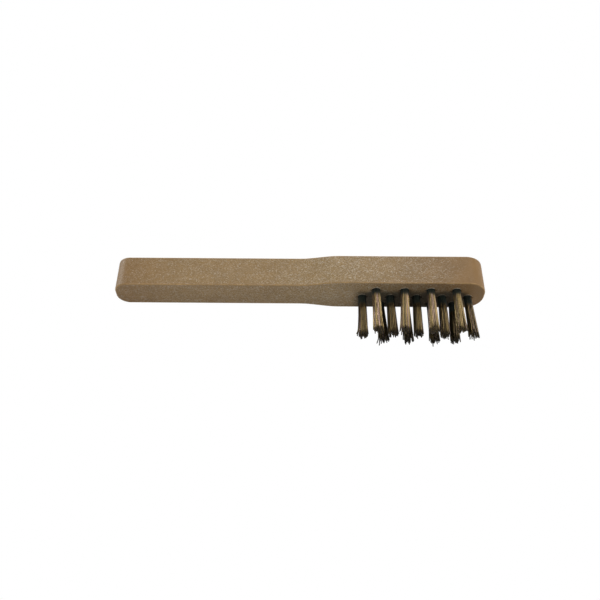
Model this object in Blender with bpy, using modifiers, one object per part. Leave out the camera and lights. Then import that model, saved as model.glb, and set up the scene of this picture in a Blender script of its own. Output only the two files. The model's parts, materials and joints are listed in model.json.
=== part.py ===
"""Small hand wire brush: one moulded block, wire tufts set in blind holes, and a flat anchor in each.

The brush lies on one side. +X runs along it from the handle to the head, the bristles point to -Y,
and +Z is up. The origin is the middle of the bounding box's underside. Metres throughout.
"""

import math

import bmesh
import bpy
from mathutils import Matrix, Vector

# Block: a straight grip, a neck that widens smoothly, and a straight head
GRIP_LENGTH = 0.0665
NECK_LENGTH = 0.0140
HEAD_LENGTH = 0.0525
GRIP_WIDTH = 0.01165
HEAD_WIDTH = 0.0152
THICKNESS = 0.0122
GRIP_END_RADIUS = 0.0046
HEAD_END_RADIUS = 0.0066
EDGE_RADIUS = 0.0003

# Tuft holes: three staggered rows, drilled from the bristle face
MIDDLE_ROW_COUNT = 5
HOLE_DIAMETER = 0.00335
HOLE_FLOOR = 0.0030          # block left behind the hole's point
DRILL_POINT = 0.0010         # height of the cone at the hole's bottom
NECK_MARGIN = 0.0088         # start of the head to the middle row's first hole
TIP_MARGIN = 0.0057          # middle row's last hole to the end of the head
UPPER_WALL = 0.002875        # upper side of the head to the upper row's rims
LOWER_WALL = 0.000775        # lower side of the head to the lower row's rims

# How far each hole was drilled from its even place in the row, from the handle to the head:
# the lower row sits towards the head
HOLE_DRIFT = {
    "upper": (-0.0003, 0.0004, 0.0002, -0.0001),
    "middle": (-0.0003, 0.0004, 0.0003, 0.0000, -0.0003),
    "lower": (0.0017, 0.0015, 0.0012, -0.0002),
}

# Wire bundles, and how far along X the tips of each one lean
BRISTLE_LENGTH = 0.0175      # bristle face to the longest wire's tip
TIP_CROWN = 0.0012           # shortest wires end this far below the longest
BUNDLE_CLEARANCE = 0.00025   # bundle to the wall and bottom of its hole
BUNDLE_FLARE = 0.00045       # growth of the bundle's radius from the hole to the tips
BUNDLE_BEND = 0.0010         # wires folded under the anchor
FLUTE_DEPTH = 0.22           # groove between strands, as a share of the bundle's radius
TIP_LEAN = {
    "upper": (0.0001, -0.0010, -0.0002, 0.0001),
    "middle": (-0.0002, 0.0000, -0.0004, -0.0003, 0.0006),
    "lower": (0.0008, 0.0000, 0.0003, -0.0007),
}

# Anchors: flat strips driven across the folded wires, their ends bitten into the hole's wall
ANCHOR_HEIGHT = 0.0018
ANCHOR_THICKNESS = 0.0004
ANCHOR_BITE = 0.0005
ANCHOR_CLEARANCE = 0.00015
ANCHOR_CORNER = 0.00008

# Smoothness of the faceted solids
CORNER_STEPS = 10
NECK_STEPS = 12
HOLE_STEPS = 20
BUNDLE_STEPS = 18
CUT_OVERSHOOT = 0.001

# Places that follow from the sizes
LENGTH = GRIP_LENGTH + NECK_LENGTH + HEAD_LENGTH
GRIP_END_X = -LENGTH / 2
NECK_START_X = GRIP_END_X + GRIP_LENGTH
HEAD_START_X = NECK_START_X + NECK_LENGTH
HEAD_END_X = LENGTH / 2
BACK_Y = (THICKNESS + BRISTLE_LENGTH) / 2
FACE_Y = BACK_Y - THICKNESS
CENTRE_Z = HEAD_WIDTH / 2
HOLE_RADIUS = HOLE_DIAMETER / 2
HOLE_DEPTH = THICKNESS - HOLE_FLOOR - DRILL_POINT
ROOT_RADIUS = HOLE_RADIUS - BUNDLE_CLEARANCE
TIP_RADIUS = ROOT_RADIUS + BUNDLE_FLARE
BUNDLE_DEPTH = HOLE_DEPTH - BUNDLE_CLEARANCE
ANCHOR_LENGTH = HOLE_DIAMETER + 2 * ANCHOR_BITE
ANCHOR_BOTTOM = BUNDLE_DEPTH - BUNDLE_BEND - ANCHOR_CLEARANCE
ANCHOR_TOP = ANCHOR_BOTTOM - ANCHOR_HEIGHT
PITCH = (HEAD_LENGTH - NECK_MARGIN - TIP_MARGIN) / (MIDDLE_ROW_COUNT - 1)
UPPER_ROW_Z = HEAD_WIDTH - UPPER_WALL - HOLE_RADIUS
LOWER_ROW_Z = LOWER_WALL + HOLE_RADIUS
MIDDLE_ROW_Z = (UPPER_ROW_Z + LOWER_ROW_Z) / 2

# Everything is drawn flat, seen from the bristle side, and then stood up: its Z turns to -Y
STAND_UP = Matrix.Rotation(math.radians(90), 4, "X")


def clear_scene():
    for obj in list(bpy.data.objects):
        bpy.data.objects.remove(obj, do_unlink=True)


def add_collection(name):
    collection = bpy.data.collections.new(name)
    bpy.context.scene.collection.children.link(collection)
    return collection


def add_material(name, colour, roughness, metallic):
    material = bpy.data.materials.new(name)
    material.use_nodes = True
    shader = material.node_tree.nodes["Principled BSDF"]
    shader.inputs["Base Color"].default_value = (*colour, 1.0)
    shader.inputs["Roughness"].default_value = roughness
    shader.inputs["Metallic"].default_value = metallic
    return material


def add_object(name, mesh, collection, location):
    """Links a mesh drawn flat as an object that stands at a location."""
    obj = bpy.data.objects.new(name, mesh)
    obj.matrix_world = Matrix.Translation(location) @ STAND_UP
    collection.objects.link(obj)
    return obj


def evaluated_mesh(obj):
    """Turns an object with its modifiers into a mesh with closed seams, and removes the object."""
    bpy.context.view_layer.update()
    evaluated = obj.evaluated_get(bpy.context.evaluated_depsgraph_get())
    mesh = bpy.data.meshes.new_from_object(evaluated)
    bm = bmesh.new()
    bm.from_mesh(mesh)
    bmesh.ops.remove_doubles(bm, verts=bm.verts, dist=1e-6)
    bm.to_mesh(mesh)
    bm.free()
    bpy.data.objects.remove(obj, do_unlink=True)
    return mesh


def turned_mesh(name, profile, steps):
    """Turns a profile of (radius, height) points, listed from the top down, about the Z axis."""
    mesh = bpy.data.meshes.new(name)
    points = [(radius, 0.0, height) for radius, height in profile]
    edges = [(i, i + 1) for i in range(len(points) - 1)]
    mesh.from_pydata(points, edges, [])
    obj = bpy.data.objects.new(name, mesh)
    bpy.context.scene.collection.objects.link(obj)
    screw = obj.modifiers.new("turn", "SCREW")
    screw.steps = steps
    screw.render_steps = steps
    screw.use_merge_vertices = True
    screw.merge_threshold = 1e-6
    return evaluated_mesh(obj)


def box_mesh(name, low, high):
    """A box between two corners."""
    low, high = Vector(low), Vector(high)
    mesh = bpy.data.meshes.new(name)
    bm = bmesh.new()
    place = Matrix.Translation((low + high) / 2) @ Matrix.Diagonal((*(high - low), 1.0))
    bmesh.ops.create_cube(bm, size=1.0, matrix=place)
    bm.to_mesh(mesh)
    bm.free()
    return mesh


def copies_mesh(name, mesh, places):
    """One mesh that holds a copy of another at each place in the flat drawing."""
    bm = bmesh.new()
    for place in places:
        first = len(bm.verts)
        bm.from_mesh(mesh)
        bm.verts.ensure_lookup_table()
        bmesh.ops.translate(bm, vec=place, verts=bm.verts[first:])
    joined = bpy.data.meshes.new(name)
    bm.to_mesh(joined)
    bm.free()
    return joined


def cut(obj, cutter):
    boolean = obj.modifiers.new("cut_" + cutter.name, "BOOLEAN")
    boolean.operation = "DIFFERENCE"
    boolean.solver = "EXACT"
    boolean.object = cutter


def add_cutter(name, mesh, collection):
    cutter = add_object(name, mesh, collection, (0, FACE_Y, 0))
    cutter.hide_render = True
    cutter.display_type = "WIRE"
    return cutter


def tuft_places():
    """Each tuft's name, its place on the bristle face (X, Z) and its lean, row by row."""
    rows = {
        "upper": (UPPER_ROW_Z, MIDDLE_ROW_COUNT - 1, PITCH / 2),
        "middle": (MIDDLE_ROW_Z, MIDDLE_ROW_COUNT, 0.0),
        "lower": (LOWER_ROW_Z, MIDDLE_ROW_COUNT - 1, PITCH / 2),
    }
    places = []
    for row, (z, count, stagger) in rows.items():
        for i in range(count):
            x = HEAD_START_X + NECK_MARGIN + stagger + i * PITCH + HOLE_DRIFT[row][i]
            places.append((f"{row}_{i + 1}", x, z, TIP_LEAN[row][i]))
    return places


def arc(centre_x, centre_z, radius, start, end):
    """Points on an arc between two angles in degrees."""
    points = []
    for i in range(CORNER_STEPS + 1):
        angle = math.radians(start + (end - start) * i / CORNER_STEPS)
        points.append((centre_x + radius * math.cos(angle), centre_z + radius * math.sin(angle)))
    return points


def neck(half_from, half_to):
    """The neck's upper edge from the grip to the head, level at both ends."""
    points = []
    for i in range(1, NECK_STEPS):
        t = i / NECK_STEPS
        ease = t * t * (3 - 2 * t)
        points.append((NECK_START_X + NECK_LENGTH * t, half_from + (half_to - half_from) * ease))
    return points


def block_outline():
    """The block seen from the bristle side, clockwise, about its own centre line."""
    grip_half, head_half = GRIP_WIDTH / 2, HEAD_WIDTH / 2
    grip_radius = min(GRIP_END_RADIUS, grip_half - EDGE_RADIUS)
    head_radius = min(HEAD_END_RADIUS, head_half - EDGE_RADIUS)
    upper = arc(GRIP_END_X + grip_radius, grip_half - grip_radius, grip_radius, 180, 90)
    upper.append((NECK_START_X, grip_half))
    upper += neck(grip_half, head_half)
    upper.append((HEAD_START_X, head_half))
    upper += arc(HEAD_END_X - head_radius, head_half - head_radius, head_radius, 90, 0)
    lower = [(x, -z) for x, z in reversed(upper)]
    return upper + lower


def block_mesh():
    """The block's outline, filled and given its thickness."""
    curve = bpy.data.curves.new("block_outline", "CURVE")
    curve.dimensions = "2D"
    curve.fill_mode = "BOTH"
    curve.extrude = THICKNESS / 2
    points = block_outline()
    spline = curve.splines.new("POLY")
    spline.points.add(len(points) - 1)
    for point, (x, z) in zip(spline.points, points):
        point.co = (x, z, 0.0, 1.0)
    spline.use_cyclic_u = True
    obj = bpy.data.objects.new("block_outline", curve)
    bpy.context.scene.collection.objects.link(obj)
    mesh = evaluated_mesh(obj)
    bm = bmesh.new()
    bm.from_mesh(mesh)
    bmesh.ops.dissolve_limit(bm, angle_limit=math.radians(1), verts=bm.verts, edges=bm.edges)
    bmesh.ops.recalc_face_normals(bm, faces=bm.faces)
    bm.to_mesh(mesh)
    bm.free()
    return mesh


def add_block(collection, hole_cutter, slot_cutter, material):
    """The moulded grip and head in one piece, with its tuft holes and the anchors' slits."""
    block = add_object("brush_block", block_mesh(), collection, (0, (FACE_Y + BACK_Y) / 2, CENTRE_Z))
    bevel = block.modifiers.new("edges", "BEVEL")
    bevel.width = EDGE_RADIUS
    bevel.segments = 2
    bevel.limit_method = "ANGLE"
    bevel.angle_limit = math.radians(40)
    cut(block, hole_cutter)
    cut(block, slot_cutter)
    block.data.materials.append(material)
    return block


def hole_mesh():
    """A drilled blind hole, mouth at height zero, with the drill's cone at its bottom."""
    profile = [
        (0.0, CUT_OVERSHOOT),
        (HOLE_RADIUS, CUT_OVERSHOOT),
        (HOLE_RADIUS, -HOLE_DEPTH),
        (0.0, -HOLE_DEPTH - DRILL_POINT),
    ]
    return turned_mesh("hole", profile, HOLE_STEPS)


def anchor_box(name, clearance, top):
    """A box about the anchor, as high as a given height above the hole's mouth."""
    half_length = ANCHOR_LENGTH / 2 + clearance
    half_thickness = ANCHOR_THICKNESS / 2 + clearance
    low = (-half_length, -half_thickness, -ANCHOR_BOTTOM - clearance)
    return box_mesh(name, low, (half_length, half_thickness, top))


def bundle_mesh(name, lean):
    """A fluted bundle of wires, straight in its hole, then flared and leaning towards its tips."""
    profile = [
        (0.0, BRISTLE_LENGTH),
        (TIP_RADIUS * 0.55, BRISTLE_LENGTH),
        (TIP_RADIUS, BRISTLE_LENGTH - TIP_CROWN),
        ((ROOT_RADIUS + TIP_RADIUS) / 2, BRISTLE_LENGTH / 2),
        (ROOT_RADIUS, 0.0),
        (ROOT_RADIUS, -BUNDLE_DEPTH + BUNDLE_BEND / 2),
        (ROOT_RADIUS * 0.75, -BUNDLE_DEPTH),
        (0.0, -BUNDLE_DEPTH),
    ]
    mesh = turned_mesh(name, profile, BUNDLE_STEPS)
    for vertex in mesh.vertices:
        column = round(math.atan2(vertex.co.y, vertex.co.x) / (2 * math.pi) * BUNDLE_STEPS)
        if column % 2:
            vertex.co.x *= 1 - FLUTE_DEPTH
            vertex.co.y *= 1 - FLUTE_DEPTH
        vertex.co.x += lean * max(vertex.co.z, 0.0) / BRISTLE_LENGTH
    return mesh


def add_tuft(name, x, z, lean, collection, window_cutter, material):
    tuft = add_object("tuft_" + name, bundle_mesh("tuft_" + name, lean), collection, (x, FACE_Y, z))
    cut(tuft, window_cutter)
    tuft.data.materials.append(material)
    return tuft


def add_anchor(name, x, z, mesh, collection):
    """A flat strip across the fold of the wires, along the brush."""
    anchor = add_object("anchor_" + name, mesh, collection, (x, FACE_Y, z))
    bevel = anchor.modifiers.new("corners", "BEVEL")
    bevel.width = ANCHOR_CORNER
    bevel.segments = 1
    return anchor


def build_brush():
    clear_scene()
    parts = add_collection("wire_brush")
    cutters = add_collection("cutters")
    plastic = add_material("filled_brown_plastic", (0.30, 0.21, 0.13), 0.45, 0.0)
    brass = add_material("tarnished_brass_wire", (0.42, 0.31, 0.17), 0.40, 1.0)
    steel = add_material("plated_steel_strip", (0.55, 0.55, 0.53), 0.35, 1.0)

    tufts = tuft_places()
    drawn = [Vector((x, z, 0.0)) for _, x, z, _ in tufts]
    window = anchor_box("window", ANCHOR_CLEARANCE, -ANCHOR_TOP + ANCHOR_CLEARANCE)
    slot = anchor_box("slot", ANCHOR_CLEARANCE, CUT_OVERSHOOT)
    hole_cutter = add_cutter("hole_cutter", copies_mesh("holes", hole_mesh(), drawn), cutters)
    slot_cutter = add_cutter("slot_cutter", copies_mesh("slots", slot, drawn), cutters)
    window_cutter = add_cutter("window_cutter", copies_mesh("windows", window, drawn), cutters)

    brush = bpy.data.objects.new("wire_brush", None)
    parts.objects.link(brush)
    pieces = [add_block(parts, hole_cutter, slot_cutter, plastic)]
    strip = anchor_box("anchor", 0.0, -ANCHOR_TOP)
    strip.materials.append(steel)
    for name, x, z, lean in tufts:
        pieces.append(add_tuft(name, x, z, lean, parts, window_cutter, brass))
        pieces.append(add_anchor(name, x, z, strip, parts))
    for piece in pieces:
        piece.parent = brush
        piece.data.shade_smooth()
        piece.data.set_sharp_from_angle(angle=math.radians(35))


build_brush()
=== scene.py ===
"""Looks of the small wire brush: its moulded block, its tufts of loose wires and the anchors in their holes.

The brush lies on its side. +X runs from the grip to the head, the bristles point to -Y, and +Z is up.
Lengths are in metres, except where a name ends in _mm.
"""

import json
import logging
import math
import random
from dataclasses import dataclass, field
from enum import Enum

import bmesh
import bpy
from mathutils import Matrix, Vector


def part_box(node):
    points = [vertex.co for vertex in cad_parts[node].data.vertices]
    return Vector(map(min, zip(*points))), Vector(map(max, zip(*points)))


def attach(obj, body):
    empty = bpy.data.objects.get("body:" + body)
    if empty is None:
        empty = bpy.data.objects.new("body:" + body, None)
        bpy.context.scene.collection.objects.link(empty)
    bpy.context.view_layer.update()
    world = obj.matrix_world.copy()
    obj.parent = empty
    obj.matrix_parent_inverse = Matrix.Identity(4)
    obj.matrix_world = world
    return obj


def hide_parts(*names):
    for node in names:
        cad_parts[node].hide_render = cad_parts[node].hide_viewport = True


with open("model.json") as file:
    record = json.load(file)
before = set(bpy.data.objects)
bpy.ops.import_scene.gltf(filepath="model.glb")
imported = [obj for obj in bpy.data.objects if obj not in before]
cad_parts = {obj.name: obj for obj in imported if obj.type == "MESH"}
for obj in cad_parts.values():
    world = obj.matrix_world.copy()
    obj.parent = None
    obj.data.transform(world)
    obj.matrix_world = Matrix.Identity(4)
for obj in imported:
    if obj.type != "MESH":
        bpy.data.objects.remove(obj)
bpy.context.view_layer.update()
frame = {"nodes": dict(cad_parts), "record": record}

MM = 0.001
BODY = "root"
BLOCK = "brush_block"
OUT = Vector((0.0, -1.0, 0.0))  # the way the bristles point
SEED = 41                       # of everything that is uneven
EDGE_LAYER = "edge_wear"        # the block's attribute that is one on its eased edges, where a painted highlight and wear lighten the plastic
TONE_LAYER = "wire_tone"        # the tufts' attributes: each wire's own tone, from none to one, how far out a point is, in shares of the tuft's reach, and how much painted shade the whole tuft gets, more on the lower rows
REACH_LAYER = "wire_reach"      # how far out a point is, in shares of the tuft's reach,
ROW_SHADE_LAYER = "wire_row_shade"      # and how much oxide the whole tuft keeps

Colour = tuple[float, float, float, float]
Span = tuple[float, float]      # two ends of a range, in the order that their comment gives

log = logging.getLogger("wire_brush")


class Row(Enum):
    """The three rows of tufts, by how high they lie on the resting brush."""

    UPPER = "upper"
    MIDDLE = "middle"
    LOWER = "lower"


class Slot(Enum):
    """The record's material slots."""

    BLOCK = "block"
    WIRE = "wire"
    ANCHOR = "anchor"


# ---------------------------------------------------------------- helpers


def linear(hex_colour: str) -> Colour:
    """Turns an sRGB hex colour into the linear colour that a shader takes.

    Args:
        hex_colour: Six hex digits, such as "8c7048".

    Returns:
        Linear red, green and blue, with an alpha of one.
    """
    parts = [int(hex_colour[i : i + 2], 16) / 255 for i in (0, 2, 4)]
    red, green, blue = (p / 12.92 if p <= 0.04045 else ((p + 0.055) / 1.055) ** 2.4 for p in parts)
    return (red, green, blue, 1.0)


def grey(value: float) -> Colour:
    """A grey of one linear value, as a colour."""
    return (value, value, value, 1.0)


def connect(node: bpy.types.Node, inputs: dict | tuple) -> None:
    """Gives a node's input sockets their values, or links them to the output sockets that feed them.

    Args:
        node: The node.
        inputs: Socket names to values or output sockets, or values for the first sockets in order.
    """
    for key, value in inputs.items() if isinstance(inputs, dict) else enumerate(inputs):
        if isinstance(value, bpy.types.NodeSocket):
            node.id_data.links.new(value, node.inputs[key])
        else:
            node.inputs[key].default_value = value


def add_node(tree: bpy.types.NodeTree, kind: str, inputs: dict | tuple = (), out: int | str = 0,
             **settings) -> bpy.types.NodeSocket:
    """Adds a node with its settings and its links.

    Args:
        tree: The node tree that gets the node.
        kind: The node's type, such as "ShaderNodeTexNoise".
        inputs: What its input sockets get, as in connect.
        out: The name or number of the output that is wanted.
        **settings: The node's own properties. A ramp's stops go in as (position, colour) pairs.

    Returns:
        The wanted output socket.
    """
    node = tree.nodes.new(kind)
    stops = settings.pop("stops", ())
    for name, value in settings.items():
        setattr(node, name, value)
    connect(node, inputs)
    for number, (position, colour) in enumerate(stops):
        if number >= len(node.color_ramp.elements):
            node.color_ramp.elements.new(position)
        node.color_ramp.elements[number].position = position
        node.color_ramp.elements[number].color = colour
    return node.outputs[out]


def new_material(name: str) -> tuple[bpy.types.Material, bpy.types.NodeTree, bpy.types.Node]:
    """Makes a material that holds only a Principled shader and its output.

    Args:
        name: The material's name.

    Returns:
        The material, its node tree and its shader node.
    """
    material = bpy.data.materials.new(name)
    material.use_nodes = True
    tree = material.node_tree
    return material, tree, next(n for n in tree.nodes if n.type == "BSDF_PRINCIPLED")


def millimetres(tree: bpy.types.NodeTree, origin: Vector, along: float = 1.0, out: float = 1.0,
                up: float = 1.0) -> bpy.types.NodeSocket:
    """Object coordinates in millimetres from an origin, for a pattern with real sizes.

    Args:
        tree: The node tree.
        origin: The pattern's centre on the brush.
        along: How many millimetres long one step of the pattern is along X.
        out: The same along Y.
        up: The same along Z.

    Returns:
        The coordinates' socket.
    """
    scale = Vector([1 / (MM * size) for size in (along, out, up)])
    return add_node(tree, "ShaderNodeMapping", {
        "Vector": add_node(tree, "ShaderNodeTexCoord", out="Object"),
        "Scale": scale, "Location": Vector([-o * s for o, s in zip(origin, scale)]),
    })


def to_mesh(bm: bmesh.types.BMesh, name: str) -> bpy.types.Mesh:
    """Writes a bmesh to a new mesh and frees it."""
    mesh = bpy.data.meshes.new(name)
    bm.to_mesh(mesh)
    bm.free()
    return mesh


def add_object(name: str, data: bpy.types.ID) -> bpy.types.Object:
    """Adds an object with its mesh, light or camera to the scene."""
    thing = bpy.data.objects.new(name, data)
    bpy.context.scene.collection.objects.link(thing)
    return thing


def finish_piece(mesh: bpy.types.Mesh, materials: list[bpy.types.Material]) -> bpy.types.Object:
    """Makes a mesh one of the brush's pieces: dressed, riding on the brush and in its material slot.

    Args:
        mesh: Its mesh, already in place, with the piece's name.
        materials: Its materials, in the order of the faces' material numbers.

    Returns:
        The piece.
    """
    piece = add_object(mesh.name, mesh)
    for material in materials:
        mesh.materials.append(material)
    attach(piece, BODY)
    log.info("%s: %d faces", piece.name, len(mesh.polygons))
    return piece


# ---------------------------------------------------------------- finishes


@dataclass(frozen=True)
class FilledPolypropylene:
    """Brown polypropylene, injection moulded, filled with ground wood and pale mineral fibre.

    The filler makes it satin and mottled with pale flecks, and greyer where it lies densest, about
    the middle. At the end of the grip and the nose of the head the skin is nearly clear brown resin.
    """

    name: str = "moulded_filled_polypropylene"
    resin: str = "7b5d34"
    filled: str = "957c53"
    fleck: str = "d0cabb"
    pit: str = "5f4b31"
    dust_and_shade: str = "1d211a"            # painted shade on the bristle face between the tufts, together with metal dust and oxide off the wires
    worn: str = "a98757"            # painted highlight on the eased edges, together with bare, polished resin where hands and benches rub them
    flow: float = 1.4               # a grain's or speck's length along the block over its width
    grain_mm: float = 0.30          # ground filler, drawn as coarse as it needs to show
    pit_noise: Span = (0.30, 0.66)  # the grain's noise at full pits and at none
    pit_share: float = 0.75
    relief_mm: float = 0.03
    relief_share: float = 0.35
    speck_mm: float = 0.32          # spacing of the mineral specks
    speck_edge: Span = (0.15, 0.50)  # where a speck starts and ends to fade, in spacings from its middle
    speck_bare: float = 0.10        # share of the specks that stay hidden
    speck_share: float = 0.42       # how strongly the palest speck shows
    fibre_mm: float = 0.15
    fibre_run: float = 4.2          # a fibre's length over its width
    fibre_noise: Span = (0.57, 0.64)  # where fibres along the block, and up and across it, start to show
    fibre_fade: float = 0.24        # and how far past that they show fully
    fibre_share: float = 0.6
    streak_mm: float = 1.5          # size of the streaks that the filler gathers in
    streak_run: float = 2.2
    streak_noise: Span = (0.36, 0.64)
    gathered: Span = (0.55, 1.35)   # the flecks' share between the streaks and in them
    cloud_mm: float = 7.0           # slow drift of the filler in the melt
    cloud_noise: Span = (0.3, 0.7)
    cloud_tone: Span = (0.93, 1.07)
    resin_roughness: float = 0.57   # the skin without filler
    roughness: float = 0.56
    full_density: float = 0.4       # the filler's density at which the skin has its full roughness
    sheen: float = 0.35             # specular level: the filler's grains break the reflection up
    ior: float = 1.49               # polypropylene
    dust_and_shade_share: float = 0.76
    shade_sway_mm: float = 1.0       # how far the upper edge of the painted shade and dust strays up and down
    # where the painted shade and dust start and are full: before the first tuft, past the last, over the
    # upper row, and from the bristle face inwards
    shade_start_mm: Span = (-4.5, 1.0)
    shade_end_mm: Span = (1.0, -1.5)
    shade_top_mm: Span = (0.8, -2.0)
    shade_skin_mm: Span = (0.8, 0.3)
    # the painted highlight with wear on the eased edges, weaker between the streaks
    edge_highlight_noise: Span = (0.35, 0.65)
    edge_highlight_share: Span = (0.24, 0.80)  # between the streaks and in them
    lip_highlight: float = 0.0          # painted highlight on the lips, as pale stretched plastic: 1 where the pale colour is full
    # share of the block's length from the grip's end, with how much filler lies at the skin there
    density_curve: tuple[Span, ...] = (
        (0.04, 0.05), (0.18, 0.52), (0.42, 0.62), (0.58, 1.0), (0.74, 0.62), (0.86, 0.12), (0.93, 0.0),
    )
    # and how strongly its grain and flecks show there
    grain_curve: tuple[Span, ...] = (
        (0.03, 0.50), (0.16, 0.66), (0.40, 0.74), (0.58, 1.0), (0.82, 0.86), (0.88, 0.74), (0.92, 0.38),
        (0.96, 0.10),
    )

    def build(self, origin: Vector, length: float, holes: list["Hole"]) -> bpy.types.Material:
        """Builds the material.

        Args:
            origin: The block's middle.
            length: The block's length along X.
            holes: The tuft holes, which the dust lies between.

        Returns:
            The material.
        """
        material, tree, shader = new_material(self.name)
        place = millimetres(tree, origin)
        density = self.along_block(tree, place, length / MM, self.density_curve)
        strength = self.along_block(tree, place, length / MM, self.grain_curve)
        cloud = add_node(tree, "ShaderNodeTexNoise", {
            "Vector": place, "Scale": 1 / self.cloud_mm, "Detail": 2.0, "Distortion": 0.6,
        })
        grain = add_node(tree, "ShaderNodeTexNoise", {
            "Vector": millimetres(tree, origin, self.grain_mm * self.flow, self.grain_mm, self.grain_mm),
            "Scale": 1.0, "Detail": 2.5, "Roughness": 0.7,
        })
        streak = add_node(tree, "ShaderNodeTexNoise", {
            "Vector": millimetres(
                tree, origin, self.streak_mm * self.streak_run, self.streak_mm, self.streak_mm,
            ),
            "Scale": 1.0, "Detail": 2.0, "Distortion": 1.2,
        })
        # each noise is stretched to a share: pits, flecks, rubbed edges and clouds
        pits, flecks, painted_share, clouded = [
            add_node(tree, "ShaderNodeMapRange", (noise, *noise_span, *share_span))
            for noise, noise_span, share_span in (
                (grain, self.pit_noise, (self.pit_share, 0.0)),
                (streak, self.streak_noise, self.gathered),
                (streak, self.edge_highlight_noise, self.edge_highlight_share),
                (cloud, self.cloud_noise, self.cloud_tone),
            )
        ]
        edge = add_node(tree, "ShaderNodeAttribute", out="Fac", attribute_name=EDGE_LAYER)
        pitted, fleck_share, worn = [
            add_node(tree, "ShaderNodeMath", pair, operation="MULTIPLY")
            for pair in ((pits, strength), (strength, flecks), (edge, painted_share))
        ]
        under = [(density, self.filled), (pitted, self.pit)]
        over = [
            # the flecks, then a painted highlight with wear on the eased edges
            (self.fleck_amount(tree, origin, fleck_share), self.fleck), (worn, self.worn),
            # painted shade, with dust, on the bristle face between the tufts
            (self.dust_and_shade_amount(tree, place, origin, holes, cloud), self.dust_and_shade),
        ]
        # painted highlight: the lips get the pale fleck colour mixed in, as stress whitening
        if self.lip_highlight:
            over.insert(1, (self.lip_highlight, self.fleck))
        colour = linear(self.resin)
        for layers in (under, over):
            for share, tint in layers:
                colour = add_node(
                    tree, "ShaderNodeMix", {"Factor": share, "A": colour, "B": linear(tint)}, "Result",
                    data_type="RGBA",
                )
            if layers is under:
                colour = add_node(tree, "ShaderNodeHueSaturation", {"Color": colour, "Value": clouded})
        connect(shader, {
            "Base Color": colour,
            "Roughness": add_node(
                tree, "ShaderNodeMapRange",
                (density, 0.0, self.full_density, self.resin_roughness, self.roughness),
            ),
            "Normal": add_node(tree, "ShaderNodeBump", {
                "Height": grain, "Strength": self.relief_share, "Distance": self.relief_mm * MM,
            }),
            "IOR": self.ior, "Specular IOR Level": self.sheen,
        })
        return material

    def dust_and_shade_amount(self, tree: bpy.types.NodeTree, place: bpy.types.NodeSocket, origin: Vector,
                    holes: list["Hole"], cloud: bpy.types.NodeSocket) -> bpy.types.NodeSocket:
        """How much painted shade, together with dust, darkens the bristle face, between the lower two rows
        and up to the upper one.

        Args:
            tree: The node tree.
            place: Coordinates in millimetres from the block's middle.
            origin: The block's middle.
            holes: The tuft holes.
            cloud: A slow noise that breaks up the edge of the painted shade and dust.

        Returns:
            The amount's socket.
        """
        spots = [(hole.mouth - origin) / MM for hole in holes]
        first, last = min(p.x for p in spots), max(p.x for p in spots)
        top, face = max(p.z for p in spots), spots[0].y
        axes = add_node(tree, "ShaderNodeSeparateXYZ", (place,)).node.outputs
        sway = add_node(
            tree, "ShaderNodeMapRange", (cloud, *self.cloud_noise, -self.shade_sway_mm, self.shade_sway_mm),
        )
        height = add_node(tree, "ShaderNodeMath", (axes["Z"], sway), operation="ADD")
        amount = self.dust_and_shade_share
        for socket, edge, span in (
            (axes["X"], first, self.shade_start_mm), (axes["X"], last, self.shade_end_mm),
            (height, top, self.shade_top_mm), (axes["Y"], face, self.shade_skin_mm),
        ):
            part = add_node(
                tree, "ShaderNodeMapRange", (socket, edge + span[0], edge + span[1]),
                interpolation_type="SMOOTHSTEP",
            )
            amount = add_node(tree, "ShaderNodeMath", (part, amount), operation="MULTIPLY")
        return amount

    @staticmethod
    def along_block(tree: bpy.types.NodeTree, place: bpy.types.NodeSocket, length_mm: float,
                    curve: tuple[Span, ...]) -> bpy.types.NodeSocket:
        """A strength that changes along the block.

        Args:
            tree: The node tree.
            place: Coordinates in millimetres from the block's middle.
            length_mm: The block's length.
            curve: Shares of the length from the grip's end, each with its strength.

        Returns:
            The strength's socket.
        """
        along = add_node(tree, "ShaderNodeSeparateXYZ", (place,), "X")
        share = add_node(tree, "ShaderNodeMapRange", (along, -length_mm / 2, length_mm / 2))
        return add_node(
            tree, "ShaderNodeValToRGB", (share,), stops=[(at, grey(value)) for at, value in curve],
        )

    def fleck_amount(self, tree: bpy.types.NodeTree, origin: Vector,
                     strength: bpy.types.NodeSocket) -> bpy.types.NodeSocket:
        """How much of a pale fibre shows: short dashes that wander about the line of flow, and specks.

        Args:
            tree: The node tree.
            origin: The pattern's centre.
            strength: How strongly the flecks show at each place.

        Returns:
            The amount's socket.
        """
        thin, run = self.fibre_mm, self.fibre_run * self.fibre_mm
        cells = add_node(tree, "ShaderNodeTexVoronoi", {
            "Vector": millimetres(tree, origin, self.speck_mm * self.flow, self.speck_mm, self.speck_mm),
            "Scale": 1.0,
        })
        chosen = add_node(tree, "ShaderNodeSeparateColor", {"Color": cells.node.outputs["Color"]}, "Red")
        near = add_node(tree, "ShaderNodeMapRange", (cells, *self.speck_edge, 1.0, 0.0))
        bright = add_node(tree, "ShaderNodeMapRange", (chosen, self.speck_bare, 1.0, 0.0, self.speck_share))
        shown = add_node(tree, "ShaderNodeMath", (near, bright), operation="MULTIPLY")
        for sizes, low in zip(((run, thin, thin), (thin, run, run)), self.fibre_noise):
            dashes = add_node(tree, "ShaderNodeTexNoise", {
                "Vector": millimetres(tree, origin, *sizes), "Scale": 1.0, "Detail": 0.0, "Distortion": 0.4,
            })
            fibres = add_node(
                tree, "ShaderNodeMapRange", (dashes, low, low + self.fibre_fade, 0.0, self.fibre_share),
            )
            shown = add_node(tree, "ShaderNodeMath", (shown, fibres), operation="MAXIMUM")
        return add_node(tree, "ShaderNodeMath", (shown, strength), operation="MULTIPLY")


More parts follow.
